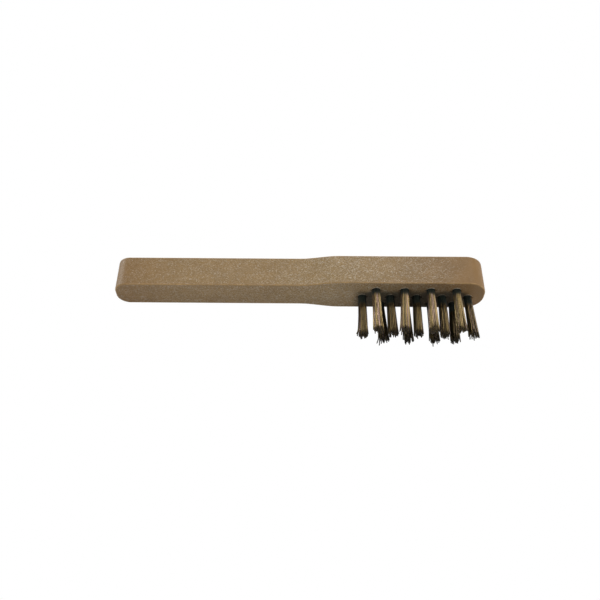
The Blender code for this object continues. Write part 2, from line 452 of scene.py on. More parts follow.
@dataclass(frozen=True)
class DrawnBrassWire:
    """Hard-drawn brass wire: satin gold with fine draw lines, handled to a dull, faintly mauve tarnish.

    Each wire has its own tone. Painted shade darkens the last stretch before the cut, the stretch by the
    block, and the lower rows more than the upper one.
    """

    name: str = "drawn_brass_wire"
    dark: str = "6a604b"
    gold: str = "a08b60"
    tarnish: str = "97827e"
    # dark of the stains, and of the painted shade at the tips and on the lower rows
    soot_and_shade: str = "29261f"
    root_shade_film: str = "2b332d"            # painted shade by the block, in the grey-green of oxide
    gold_tones: Span = (0.34, 0.60)  # the tones between the dark wires and the tarnished ones
    draw_line_mm: float = 0.07      # real draw lines are finer; this is as coarse as shows close by
    draw_run_mm: float = 3.0
    draw_noise: Span = (0.3, 0.7)
    relief_mm: float = 0.005
    relief_share: float = 0.15
    roughness: Span = (0.27, 0.43)  # along the smooth lines and the rough ones
    stain_mm: float = 0.8           # across the wires
    stain_run: float = 5.0          # a stain's length over its width
    stain_noise: Span = (0.40, 0.80)
    stain_share: float = 0.28
    tip_shade_reach: Span = (0.92, 0.98)  # shares of the reach where the painted shade at the tips starts and is full
    tip_shade_share: float = 0.8
    root_shade_reach: Span = (0.08, 0.16)  # where the painted shade by the block starts and ends to thin out
    root_shade_run: float = 0.19        # how much farther out it runs on the most shaded tuft
    root_shade_metal: float = 0.15        # how metallic the wire looks under that painted shade

    def build(self, origin: Vector) -> bpy.types.Material:
        """Builds the material.

        Args:
            origin: The pattern's centre.

        Returns:
            The material.
        """
        material, tree, shader = new_material(self.name)
        tone, reach, row_shade = [
            add_node(tree, "ShaderNodeAttribute", out="Fac", attribute_name=layer)
            for layer in (TONE_LAYER, REACH_LAYER, ROW_SHADE_LAYER)
        ]
        stain, lines = [
            add_node(tree, "ShaderNodeTexNoise", {
                "Vector": millimetres(tree, origin, across, run, across), "Scale": 1.0, "Detail": 1.0,
            })
            for across, run in (
                (self.stain_mm, self.stain_run * self.stain_mm), (self.draw_line_mm, self.draw_run_mm),
            )
        ]
        # the reach, pulled back on the shaded rows, so that the painted shade by the block runs farther out
        # there
        shaded_reach = add_node(
            tree, "ShaderNodeMath", (row_shade, -self.root_shade_run, reach), operation="MULTIPLY_ADD",
        )
        stained, painted_share, root_shaded = [
            add_node(tree, "ShaderNodeMapRange", (value, *span, *shares))
            for value, span, shares in (
                (stain, self.stain_noise, (0.0, self.stain_share)),
                (reach, self.tip_shade_reach, (0.0, self.tip_shade_share)),
                (shaded_reach, self.root_shade_reach, (1.0, 0.0)),
            )
        ]
        # the stains, and painted shade darkening the tips
        stain_and_tip_shade = add_node(tree, "ShaderNodeMath", (stained, painted_share), operation="MAXIMUM")
        colour = add_node(tree, "ShaderNodeValToRGB", (tone,), stops=[
            (0.0, linear(self.dark)), *((at, linear(self.gold)) for at in self.gold_tones),
            (1.0, linear(self.tarnish)),
        ])
        # painted shade: the tips, the lower rows and the stretch by the block are darkened; the stains
        # darken too
        for share, tint in ((stain_and_tip_shade, self.soot_and_shade), (row_shade, self.soot_and_shade), (root_shaded, self.root_shade_film)):
            colour = add_node(
                tree, "ShaderNodeMix", {"Factor": share, "A": colour, "B": linear(tint)}, "Result",
                data_type="RGBA",
            )
        connect(shader, {
            "Base Color": colour,
            "Metallic": add_node(tree, "ShaderNodeMapRange", (root_shaded, 0.0, 1.0, 1.0, self.root_shade_metal)),
            "Roughness": add_node(tree, "ShaderNodeMapRange", (lines, *self.draw_noise, *self.roughness)),
            "Normal": add_node(tree, "ShaderNodeBump", {
                "Height": lines, "Strength": self.relief_share, "Distance": self.relief_mm * MM,
            }),
        })
        return material


@dataclass(frozen=True)
class ShearedWireEnd:
    """The sheared end of a brass wire: torn and dull, painted near black as shade, with a little brass at
    the burr.
    """

    name: str = "sheared_brass_wire_end"
    # painted shade: the cut ends are nearly black, with brass where the tears show
    shade_black: str = "10110d"
    brass: str = "5a4d38"
    tear_mm: float = 0.12
    tear_noise: Span = (0.55, 0.80)  # the tears' noise where black ends and brass starts
    relief_mm: float = 0.02
    relief_share: float = 0.6
    metal: float = 0.3
    roughness: float = 0.6

    def build(self, origin: Vector) -> bpy.types.Material:
        """Builds the material.

        Args:
            origin: The pattern's centre.

        Returns:
            The material.
        """
        material, tree, shader = new_material(self.name)
        torn = add_node(tree, "ShaderNodeTexNoise", {
            "Vector": millimetres(tree, origin), "Scale": 1 / self.tear_mm, "Detail": 2.0,
        })
        connect(shader, {
            "Base Color": add_node(
                tree, "ShaderNodeValToRGB", (torn,),
                stops=list(zip(self.tear_noise, (linear(self.shade_black), linear(self.brass)))),
            ),
            "Normal": add_node(tree, "ShaderNodeBump", {
                "Height": torn, "Strength": self.relief_share, "Distance": self.relief_mm * MM,
            }),
            "Metallic": self.metal, "Roughness": self.roughness,
        })
        return material


@dataclass(frozen=True)
class RolledSteelStrip:
    """Cold-rolled steel strip: grey, with fine lines along the rolling direction and a thin oil stain."""

    name: str = "cold_rolled_steel_strip"
    steel: str = "a9a9a6"
    stain: str = "7d7568"
    rolling_line_mm: float = 0.05
    rolling_run_mm: float = 4.0
    rolling_noise: Span = (0.3, 0.7)
    roughness: Span = (0.25, 0.45)
    relief_mm: float = 0.005
    relief_share: float = 0.3
    stain_mm: float = 1.2
    stain_noise: Span = (0.4, 0.75)  # the stain's noise at clean steel and at full stain

    def build(self, origin: Vector) -> bpy.types.Material:
        """Builds the material.

        Args:
            origin: The pattern's centre.

        Returns:
            The material.
        """
        material, tree, shader = new_material(self.name)
        lines = add_node(tree, "ShaderNodeTexNoise", {
            "Vector": millimetres(
                tree, origin, self.rolling_run_mm, self.rolling_line_mm, self.rolling_line_mm,
            ),
            "Scale": 1.0, "Detail": 1.0,
        })
        stain = add_node(tree, "ShaderNodeTexNoise", {
            "Vector": millimetres(tree, origin), "Scale": 1 / self.stain_mm, "Detail": 2.0,
        })
        connect(shader, {
            "Base Color": add_node(
                tree, "ShaderNodeValToRGB", (stain,),
                stops=list(zip(self.stain_noise, (linear(self.steel), linear(self.stain)))),
            ),
            "Roughness": add_node(tree, "ShaderNodeMapRange", (lines, *self.rolling_noise, *self.roughness)),
            "Normal": add_node(tree, "ShaderNodeBump", {
                "Height": lines, "Strength": self.relief_share, "Distance": self.relief_mm * MM,
            }),
            "Metallic": 1.0,
        })
        return material


# ---------------------------------------------------------------- holes


@dataclass(frozen=True)
class Hole:
    """One blind hole for a tuft, found from the anchor that sits in it."""

    row: Row
    number: int
    mouth: Vector = field(default_factory=Vector)
    anchor_low: Vector = field(default_factory=Vector)
    anchor_high: Vector = field(default_factory=Vector)

    @property
    def label(self) -> str:
        """The ending that this hole's pieces share, such as upper_2."""
        return f"{self.row.value}_{self.number}"


def find_holes(face_y: float) -> list[Hole]:
    """Finds every hole from the anchors of the CAD model.

    Args:
        face_y: Where the holes' mouths are.

    Returns:
        The holes, row by row from the grip to the nose.
    """
    holes = []
    for row in Row:
        number = 1
        while f"anchor_{row.value}_{number}" in frame["nodes"]:
            low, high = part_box(f"anchor_{row.value}_{number}")
            middle = (low + high) / 2
            holes.append(Hole(row, number, Vector((middle.x, face_y, middle.z)), low, high))
            number += 1
    return holes


# ---------------------------------------------------------------- block


@dataclass(frozen=True)
class Lip:
    """How far the wires have pushed the plastic up along one side of a hole's rim."""

    centre_deg: float               # its middle about the hole, from +X towards +Z
    half_deg: Span                  # least and most of half its sweep
    height_mm: float
    height_share: Span              # least and most of that height


@dataclass
class MouldedBlock:
    """The one-piece block: a slim straight grip, a short neck and a wider head with its blind holes."""

    holes: list[Hole]
    head_length_mm: float = 52.5
    neck_length_mm: float = 14.0
    neck_steps: int = 8
    grip_corner_mm: float = 4.6
    nose_corner_mm: float = 6.6
    corner_segments: int = 12
    edge_mm: float = 0.45
    edge_segments: int = 4
    hole_mm: float = 3.35
    hole_depth_mm: float = 8.2
    drill_point_mm: float = 1.0
    hole_sides: int = 32
    slit_reach_mm: float = 0.72     # how far the anchor's slit runs past the hole's wall
    slit_width_mm: float = 0.46
    slit_depth_mm: float = 6.8
    slit_shoulder: float = 0.72     # how much of that reach has its full width, before the point
    proud_mm: float = 1.0           # how far the drills and slit cutters stand out of the face
    lips: tuple[Lip, ...] = (Lip(90, (58, 72), 0.17, (0.75, 1.1)), Lip(270, (40, 60), 0.08, (0.7, 1.2)))
    lip_width_mm: float = 0.30
    lip_sunk_mm: float = 0.06       # how deep a lip's foot is in the face
    lip_overlap_mm: float = 0.02    # and how far it runs in over the hole
    # a lip's crest: how far from the rim in shares of its width, and how high in shares of its height
    lip_crest: tuple[Span, ...] = ((0.0, 0.55), (0.25, 1.0), (0.6, 0.6))
    lip_steps: int = 20
    lip_fullness: float = 0.7       # the lower, the longer a lip keeps its height towards its ends
    lip_narrowing: float = 0.7      # how much of its width a lip loses towards its ends
    lip_sways: tuple[tuple[int, float], ...] = ((5, 0.3), (13, 0.25))  # waves round a hole, and their share
    sharp_angle_deg: float = 35.0
    edge_band_margin_mm: float = 0.02    # what the band of painted highlight and wear leaves of an eased edge's two borders

    def __post_init__(self) -> None:
        """Reads the block's box and the grip's sides from the CAD model."""
        self.low, self.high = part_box(BLOCK)
        mounts = {m["name"]: Vector(m["pos_m"]) for m in frame["record"]["mounts"]}
        self.grip_low = mounts["grip_lower_side"].z
        self.grip_high = mounts["grip_upper_side"].z

    @property
    def middle(self) -> Vector:
        """The middle of the block's box."""
        return (self.low + self.high) / 2

    def outline(self) -> list[Vector]:
        """The corner points of the block's outline on the bristle face, before the corners are rounded."""
        neck_end = self.high.x - self.head_length_mm * MM
        neck_start = neck_end - self.neck_length_mm * MM

        def side(grip_z: float, head_z: float) -> list[Vector]:
            """One long side, from the grip's end to the nose."""
            points = [Vector((self.low.x, self.low.y, grip_z))]
            for step in range(self.neck_steps + 1):
                share = step / self.neck_steps
                ease = share * share * (3 - 2 * share)
                points.append(Vector((
                    neck_start + (neck_end - neck_start) * share, self.low.y,
                    grip_z + (head_z - grip_z) * ease,
                )))
            points.append(Vector((self.high.x, self.low.y, head_z)))
            return points

        upper = side(self.grip_high, self.high.z)
        lower = side(self.grip_low, self.low.z)
        return upper + lower[::-1]

    def round_corner(self, bm: bmesh.types.BMesh, end_x: float, radius_mm: float) -> None:
        """Rounds the two corners of the outline at one end.

        Args:
            bm: The flat outline.
            end_x: The end's place along X.
            radius_mm: The corners' radius.
        """
        corners = [v for v in bm.verts if abs(v.co.x - end_x) < 1e-6]
        bmesh.ops.bevel(
            bm, geom=corners, offset=radius_mm * MM, segments=self.corner_segments,
            profile=0.5, affect="VERTICES", material=-1,
        )

    def body_mesh(self) -> bpy.types.Mesh:
        """The solid block without its holes: the outline, pushed through its thickness, with eased edges."""
        bm = bmesh.new()
        bm.faces.new([bm.verts.new(p) for p in self.outline()])
        self.round_corner(bm, self.low.x, self.grip_corner_mm)
        self.round_corner(bm, self.high.x, self.nose_corner_mm)
        grown = bmesh.ops.extrude_face_region(bm, geom=bm.faces[:])["geom"]
        new_verts = [g for g in grown if isinstance(g, bmesh.types.BMVert)]
        bmesh.ops.translate(bm, verts=new_verts, vec=(0, self.high.y - self.low.y, 0))
        bmesh.ops.recalc_face_normals(bm, faces=bm.faces[:])
        rims = [e for e in bm.edges if abs(e.verts[0].co.y - e.verts[1].co.y) < 1e-7]
        bmesh.ops.bevel(
            bm, geom=rims, offset=self.edge_mm * MM, segments=self.edge_segments,
            profile=0.5, affect="EDGES", material=-1,
        )
        return to_mesh(bm, "block_body")

    def cutter_mesh(self) -> bpy.types.Mesh:
        """The drills, as one mesh of closed shells."""
        bm = bmesh.new()
        radius = self.hole_mm / 2 * MM
        depth, proud = self.hole_depth_mm * MM, self.proud_mm * MM
        upright = Matrix.Rotation(math.radians(90), 4, "X")
        for hole in self.holes:
            drill = bmesh.ops.create_cone(
                bm, cap_ends=True, segments=self.hole_sides, radius1=radius, radius2=radius,
                depth=depth + proud,
                matrix=Matrix.Translation(hole.mouth - OUT * (depth - proud) / 2) @ upright,
            )["verts"]
            floor = [v for v in drill if v.co.y > hole.mouth.y + depth / 2]
            floor_face = next(f for f in bm.faces if set(f.verts) == set(floor))
            point = bmesh.ops.poke(bm, faces=[floor_face])["verts"]
            bmesh.ops.translate(bm, verts=point, vec=-OUT * self.drill_point_mm * MM)
        bmesh.ops.recalc_face_normals(bm, faces=bm.faces[:])
        return to_mesh(bm, "drills")

    def slit_mesh(self) -> bpy.types.Mesh:
        """The slits that the driven anchors leave on both sides of each hole, pointed at their ends."""
        bm = bmesh.new()
        reach = (self.hole_mm / 2 + self.slit_reach_mm) * MM
        shoulder = (self.hole_mm / 2 + self.slit_reach_mm * self.slit_shoulder) * MM
        half = self.slit_width_mm / 2 * MM
        ring = (
            (-reach, 0), (-shoulder, -half), (shoulder, -half),
            (reach, 0), (shoulder, half), (-shoulder, half),
        )
        for hole in self.holes:
            top = hole.mouth + OUT * self.proud_mm * MM
            verts = [bm.verts.new(top + Vector((x, 0, z))) for x, z in ring]
            face = bm.faces.new(verts)
            grown = bmesh.ops.extrude_face_region(bm, geom=[face])["geom"]
            new_verts = [g for g in grown if isinstance(g, bmesh.types.BMVert)]
            bmesh.ops.translate(bm, verts=new_verts, vec=-OUT * (self.slit_depth_mm + self.proud_mm) * MM)
        bmesh.ops.recalc_face_normals(bm, faces=bm.faces[:])
        return to_mesh(bm, "anchor_slits")

    def cut(self, body: bpy.types.Mesh, cutters: list[bpy.types.Mesh]) -> bpy.types.Mesh:
        """Cuts the cutters out of the body.

        Args:
            body: The solid block.
            cutters: Meshes of closed shells.

        Returns:
            The cut mesh.
        """
        block = add_object("block_blank", body)
        tools = []
        for cutter in cutters:
            tool = add_object(cutter.name, cutter)
            step = block.modifiers.new(cutter.name, "BOOLEAN")
            step.operation, step.solver, step.object = "DIFFERENCE", "EXACT", tool
            tools.append(tool)
        graph = bpy.context.evaluated_depsgraph_get()
        made = bpy.data.meshes.new_from_object(block.evaluated_get(graph))
        for thing in (block, *tools):
            bpy.data.objects.remove(thing)
        return made

    def build(self, plastic: bpy.types.Material) -> None:
        """Builds the drilled block.

        Args:
            plastic: Its material.
        """
        mesh = self.cut(self.body_mesh(), [self.cutter_mesh(), self.slit_mesh()])
        mesh.name = "moulded_block"
        mesh.materials.clear()
        mesh.shade_smooth()
        mesh.set_sharp_from_angle(angle=math.radians(self.sharp_angle_deg))
        self.mark_edges(mesh)
        piece = finish_piece(mesh, [plastic])
        evened = piece.modifiers.new("even_shading", "WEIGHTED_NORMAL")
        evened.keep_sharp = True
        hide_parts(BLOCK)

    def mark_edges(self, mesh: bpy.types.Mesh) -> None:
        """Marks the points on the eased edges, which get a painted highlight and the plastic's wear.

        Args:
            mesh: The block's mesh.
        """
        marks = mesh.attributes.new(EDGE_LAYER, "FLOAT", "POINT")
        for vert, mark in zip(mesh.vertices, marks.data):
            depth = min(vert.co.y - self.low.y, self.high.y - vert.co.y) / MM
            on_edge = self.edge_band_margin_mm < depth < self.edge_mm - self.edge_band_margin_mm
            mark.value = 1.0 if on_edge else 0.0

    def add_lip(self, bm: bmesh.types.BMesh, hole: Hole, lip: Lip, rng: random.Random) -> None:
        """Adds one crescent of plastic that the wires have pushed up along a hole's rim.

        Args:
            bm: Where it is added.
            hole: The hole.
            lip: Where it stands and how high.
            rng: The source of its unevenness.
        """
        half_deg = rng.uniform(*lip.half_deg)
        height = lip.height_mm * rng.uniform(*lip.height_share) * MM
        radius, width, sunk = self.hole_mm / 2 * MM, self.lip_width_mm * MM, self.lip_sunk_mm * MM
        # the crescent's section: distance from the rim, and height over the face
        section = [
            (-self.lip_overlap_mm * MM, -sunk),
            *((width * away, height * up) for away, up in self.lip_crest), (width, -sunk),
        ]
        start = math.radians(lip.centre_deg - half_deg)
        spoke = Vector((math.cos(start), 0, math.sin(start)))
        before = set(bm.verts)
        verts = [bm.verts.new(hole.mouth + spoke * (radius + away) + OUT * up) for away, up in section]
        face = bm.faces.new(verts)
        bmesh.ops.spin(
            bm, geom=[face, *face.edges, *verts], cent=hole.mouth, axis=OUT,
            angle=math.radians(2 * half_deg), steps=self.lip_steps, use_merge=False, use_duplicate=False,
        )
        waver = rng.uniform(0, math.tau)
        for vert in [v for v in bm.verts if v not in before]:
            arm = vert.co - hole.mouth
            turn = (math.degrees(math.atan2(arm.z, arm.x)) - lip.centre_deg + 180) % 360 - 180
            share = min(abs(turn) / half_deg, 1.0)
            # fullest in the middle, with a slow and a quick unevenness
            taper = math.cos(share * math.pi / 2) ** self.lip_fullness if share < 1 else 0.0
            taper *= 1 + sum(
                size * math.sin(math.radians(turn) * waves + shift * waver)
                for shift, (waves, size) in enumerate(self.lip_sways, 1)
            )
            up = arm.dot(OUT)
            if up > 0:
                vert.co += OUT * up * (taper - 1)
            flat = Vector((arm.x, 0, arm.z))
            away = flat.length - radius
            if away > 0:
                vert.co -= flat.normalized() * away * (1 - taper) * self.lip_narrowing

    def build_lips(self, plastic: bpy.types.Material) -> None:
        """Builds the pushed-up rims, one piece to a row.

        Args:
            plastic: Their material.
        """
        for row in Row:
            rng = random.Random(f"{SEED} rim {row.value}")
            bm = bmesh.new()
            for hole in (h for h in self.holes if h.row is row):
                for lip in self.lips:
                    self.add_lip(bm, hole, lip, rng)
            bmesh.ops.recalc_face_normals(bm, faces=bm.faces[:])
            mesh = to_mesh(bm, f"hole_rim_lips_{row.value}")
            mesh.shade_smooth()
            finish_piece(mesh, [plastic])


# ---------------------------------------------------------------- tufts


@dataclass(frozen=True)
class Stray:
    """A wire that has sprung out of its bundle."""

    hairpin: int
    side: int
    drift_mm: Span                  # how far its tip has gone along X and Z
    longer_mm: float = 0.0


@dataclass
class WireTuft:
    """One bundle of hairpin wires, folded over its anchor and driven into its hole."""

    hole: Hole
    reach_mm: float
    strays: tuple[Stray, ...] = ()
    wire_mm: float = 0.38
    layers: tuple[int, ...] = (7, 6, 5, 4)  # hairpins in each layer, from the anchor outwards
    root_pitch_mm: float = 0.41
    tip_pitch_mm: float = 0.55
    anchor_pitch_mm: float = 0.385
    anchor_layer_mm: float = 0.35
    anchor_gap_mm: float = 0.03
    layer_rise: float = 0.866       # rows of a close-packed bundle, over the pitch
    packed_mm: float = 0.4          # how deep in the hole the wires come close together
    place_slack: float = 0.08       # how far a wire strays in its layer, in pitches
    sides: int = 5
    free_steps: int = 9             # lengths of wire outside the block
    short_mm: float = 1.3           # how far the shortest wires stay behind, and the longest stand out
    usual_mm: float = 0.1
    long_mm: float = 0.6
    longest_mm: float = 17.45
    burr_mm: float = 0.04           # how far a slanting cut may stand past that
    cut_slant: float = 1.1          # rise over run of the steepest cut
    row_shade: float = 0.0              # how much painted shade the whole tuft gets
    opening_power: float = 1.15     # how late along its length the bundle opens
    splay_mm: float = 0.20
    splay_power: int = 4            # how late a wire bends away
    wave_mm: float = 0.006
    wave_length_mm: float = 6.5
    wave_start_mm: float = 4.0      # where the waves have their full size
    tip_band_mm: float = 1.5        # the end of the CAD bundle that its lean is measured at

    def __post_init__(self) -> None:
        """Finds how far this tuft leans from its CAD solid, and where its anchor is."""
        node = frame["nodes"][f"tuft_{self.hole.label}"]
        low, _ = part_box(node.name)
        ends = [v.co for v in node.data.vertices if v.co.y < low.y + self.tip_band_mm * MM]
        tip = Vector([(min(e[axis] for e in ends) + max(e[axis] for e in ends)) / 2 for axis in range(3)])
        self.lean = Vector((tip.x - self.hole.mouth.x, 0, tip.z - self.hole.mouth.z))
        self.anchor_top_mm = (self.hole.anchor_low.y - self.hole.mouth.y) / MM
        self.anchor_bottom_mm = (self.hole.anchor_high.y - self.hole.mouth.y) / MM
        self.anchor_half_mm = (self.hole.anchor_high.z - self.hole.anchor_low.z) / 2 / MM

    @property
    def ring_count(self) -> int:
        """Rings of one hairpin: two legs, each with three rings in its hole, and three round the bend."""
        return 2 * (3 + self.free_steps) + 3

    def template(self) -> bpy.types.Mesh:
        """One straight wire, as thick as in millimetres, with its rings at whole numbers along Z."""
        steps = self.ring_count - 1
        bm = bmesh.new()
        radius = self.wire_mm / 2
        bmesh.ops.create_cone(
            bm, cap_ends=True, segments=self.sides, radius1=radius, radius2=radius, depth=steps,
        )
        long_edges = [e for e in bm.edges if abs(e.verts[0].co.z - e.verts[1].co.z) > 0.5]
        bmesh.ops.subdivide_edges(bm, edges=long_edges, cuts=steps - 1, use_grid_fill=True)
        bmesh.ops.translate(bm, verts=bm.verts[:], vec=(0, 0, steps / 2))
        for face in bm.faces:
            face.smooth = len(face.verts) == 4
            face.material_index = 0 if len(face.verts) == 4 else 1
        return to_mesh(bm, "straight_wire")

    def held_mm(self, layer: int) -> float:
        """How far a layer's wires are from the anchor's middle, where they lie against it."""
        return self.anchor_half_mm + self.anchor_gap_mm + self.wire_mm / 2 + layer * self.anchor_layer_mm

    def leg(self, layer: int, place: float, side: int, rng: random.Random,
            stray: Stray | None) -> list[Vector]:
        """The centre line of one leg, in millimetres from the hole's mouth, from the anchor to the tip.

        Args:
            layer: Which layer of the bundle, from the anchor outwards.
            place: The wire's place in its layer, in pitches from the middle.
            side: 1 above the anchor, -1 below it.
            rng: The source of the wire's own bends.
            stray: How it has sprung out, if it has.

        Returns:
            Points as (x, distance out from the face, z).
        """
        rise = (layer + 0.5) * self.layer_rise
        held_x, held_z = place * self.anchor_pitch_mm, side * self.held_mm(layer)
        points = [
            Vector((held_x, -self.anchor_bottom_mm, held_z)),
            Vector((held_x, -self.anchor_top_mm, held_z)),
            Vector((place * self.root_pitch_mm, -self.packed_mm, side * rise * self.root_pitch_mm)),
        ]
        reach = self.reach_mm + rng.triangular(-self.short_mm, self.long_mm, self.usual_mm)
        splay = Vector((rng.gauss(0, self.splay_mm), 0, rng.gauss(0, self.splay_mm)))
        waves = [(rng.uniform(0, math.tau), rng.gauss(0, self.wave_mm)) for _ in range(2)]
        if stray:
            reach += stray.longer_mm
            splay += Vector((stray.drift_mm[0], 0, stray.drift_mm[1]))
        reach = min(reach, self.longest_mm)
        for step in range(1, self.free_steps + 1):
            share = step / self.free_steps
            out = reach * share
            opened, bent = share ** self.opening_power, share ** self.splay_power
            pitch = self.root_pitch_mm + (self.tip_pitch_mm - self.root_pitch_mm) * opened
            loose = min(1.0, out / self.wave_start_mm)
            turn = math.tau * out / self.wave_length_mm
            x_wave, z_wave = (size * loose * math.sin(turn + phase) for phase, size in waves)
            points.append(Vector((
                place * pitch + self.lean.x / MM * share + splay.x * bent + x_wave,
                out,
                side * rise * pitch + self.lean.z / MM * share + splay.z * bent + z_wave,
            )))
        return points

    def bend(self, layer: int, place: float) -> list[Vector]:
        """The bottom of a hairpin, round the inner edge of the anchor, from above it to below it."""
        radius = self.held_mm(layer)
        return [
            Vector((
                place * self.anchor_pitch_mm, -self.anchor_bottom_mm - radius * math.sin(angle),
                radius * math.cos(angle),
            ))
            for angle in map(math.radians, (45, 90, 135))
        ]

    def thread(self, bm: bmesh.types.BMesh, template: bpy.types.Mesh, line: list[Vector], tone: float,
               rng: random.Random) -> None:
        """Adds one wire to the bundle, bent along its centre line.

        Args:
            bm: The bundle.
            template: The straight wire.
            line: The centre line, one point for each ring, in millimetres from the mouth.
            tone: The wire's own tone, from none to one.
            rng: The source of the tilt of its cut ends.
        """
        tones, reaches = (bm.verts.layers.float[name] for name in (TONE_LAYER, REACH_LAYER))
        start = len(bm.verts)
        bm.from_mesh(template)
        bm.verts.ensure_lookup_table()
        last = len(line) - 1
        steepest = self.cut_slant
        tilts = [(rng.uniform(-steepest, steepest), rng.uniform(-steepest, steepest)) for _ in range(2)]
        frames = []
        for ring, point in enumerate(line):
            along = (line[min(ring + 1, last)] - line[max(ring - 1, 0)]).normalized()
            across = (Vector((1, 0, 0)) - along * along.x).normalized()
            frames.append((point, along, across, along.cross(across)))
        for vert in bm.verts[start:]:
            ring = round(vert.co.z)
            point, along, across, up = frames[ring]
            spot = point + across * vert.co.x + up * vert.co.y
            if ring in (0, last):
                tilt = tilts[0 if ring == 0 else 1]
                spot += along * (tilt[0] * vert.co.x + tilt[1] * vert.co.y)
            vert[tones] = tone
            vert[reaches] = max(0.0, point.y) / self.reach_mm
            out = min(spot.y, self.longest_mm + self.burr_mm)
            vert.co = self.hole.mouth + Vector((spot.x, -out, spot.z)) * MM

    def build(self, wire: bpy.types.Material, cut_end: bpy.types.Material) -> None:
        """Builds the tuft.

        Args:
            wire: The wires' material.
            cut_end: The material of their cut ends.
        """
        rng = random.Random(f"{SEED} tuft {self.hole.label}")
        template = self.template()
        bm = bmesh.new()
        for name in (TONE_LAYER, REACH_LAYER, ROW_SHADE_LAYER):
            bm.verts.layers.float.new(name)
        number = 0
        for layer, count in enumerate(self.layers):
            for index in range(count):
                place = index - (count - 1) / 2 + rng.uniform(-self.place_slack, self.place_slack)
                loose = {s.side: s for s in self.strays if s.hairpin == number}
                upper = self.leg(layer, place, 1, rng, loose.get(1))
                lower = self.leg(layer, place, -1, rng, loose.get(-1))
                line = upper[::-1] + self.bend(layer, place) + lower
                self.thread(bm, template, line, rng.random(), rng)
                number += 1
        # painted shade for the whole tuft, by its row
        row_shade = bm.verts.layers.float[ROW_SHADE_LAYER]
        for vert in bm.verts:
            vert[row_shade] = self.row_shade
        mesh = to_mesh(bm, f"wire_tuft_{self.hole.label}")
        bpy.data.meshes.remove(template)
        piece = finish_piece(mesh, [wire, cut_end])
        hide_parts(f"tuft_{self.hole.label}")


@dataclass
class BristleField:
    """All the tufts, with how far each one still reaches and which wires have sprung out."""

    holes: list[Hole]
    reach_mm: dict[Row, tuple[float, ...]] = field(default_factory=lambda: {
        Row.UPPER: (17.0, 17.1, 17.1, 17.0),
        Row.MIDDLE: (16.7, 16.0, 16.0, 16.6, 16.6),
        Row.LOWER: (16.0, 16.0, 16.0, 16.0),
    })
    # painted shade on each row's wires, more on the lower rows
    row_shade: dict[Row, float] = field(default_factory=lambda: {
        Row.UPPER: 0.05, Row.MIDDLE: 0.50, Row.LOWER: 0.72,
    })
    strays: dict[str, tuple[Stray, ...]] = field(default_factory=lambda: {
        "lower_1": (Stray(18, -1, (-1.6, -0.3), 1.2), Stray(13, -1, (-0.7, -0.3), 0.8)),
        "middle_1": (Stray(8, -1, (-1.4, 0.2), -1.0), Stray(0, 1, (-0.6, 0.1), 0.2)),
        "upper_4": (Stray(21, 1, (0.7, 0.2), 0.0),),
        "lower_3": (Stray(19, -1, (-0.5, -0.3), 0.9),),
    })

    def build(self, wire: bpy.types.Material, cut_end: bpy.types.Material) -> None:
        """Builds every tuft.

        Args:
            wire: The wires' material.
            cut_end: The material of their cut ends.
        """
        for hole in self.holes:
            WireTuft(
                hole, self.reach_mm[hole.row][hole.number - 1], self.strays.get(hole.label, ()),
                row_shade=self.row_shade[hole.row],
            ).build(wire, cut_end)


@dataclass
class Anchors:
    """The steel anchors that hold the tufts down: CAD pieces that only get their finish here."""

    holes: list[Hole]

    def dress(self, steel: bpy.types.Material) -> None:
        """Gives every anchor its steel.

        Args:
            steel: The material.
        """
        for hole in self.holes:
            node = frame["nodes"][f"anchor_{hole.label}"]
            node.data.materials.clear()
            node.data.materials.append(steel)
            log.info("anchor_%s dressed", hole.label)


# ---------------------------------------------------------------- studio


@dataclass(frozen=True)
class SoftBox:
    """A soft box: where its light comes from, how big it is and how bright."""

    name: str
    towards: tuple[float, float, float]
    distance: float
    width: float
    height: float
    power: float
    colour: str = "ffffff"

    def build(self, target: Vector) -> None:
        """Hangs the soft box.

        Args:
            target: The point that it faces.
        """
        lamp = bpy.data.lights.new(self.name, "AREA")
        lamp.shape = "RECTANGLE"
        lamp.size, lamp.size_y = self.width, self.height
        lamp.energy = self.power
        lamp.color = linear(self.colour)[:3]
        way = Vector(self.towards).normalized()
        light = add_object(self.name, lamp)
        light.rotation_euler = way.to_track_quat("Z", "Y").to_euler()
        light.location = target + way * self.distance
        light.visible_camera = False


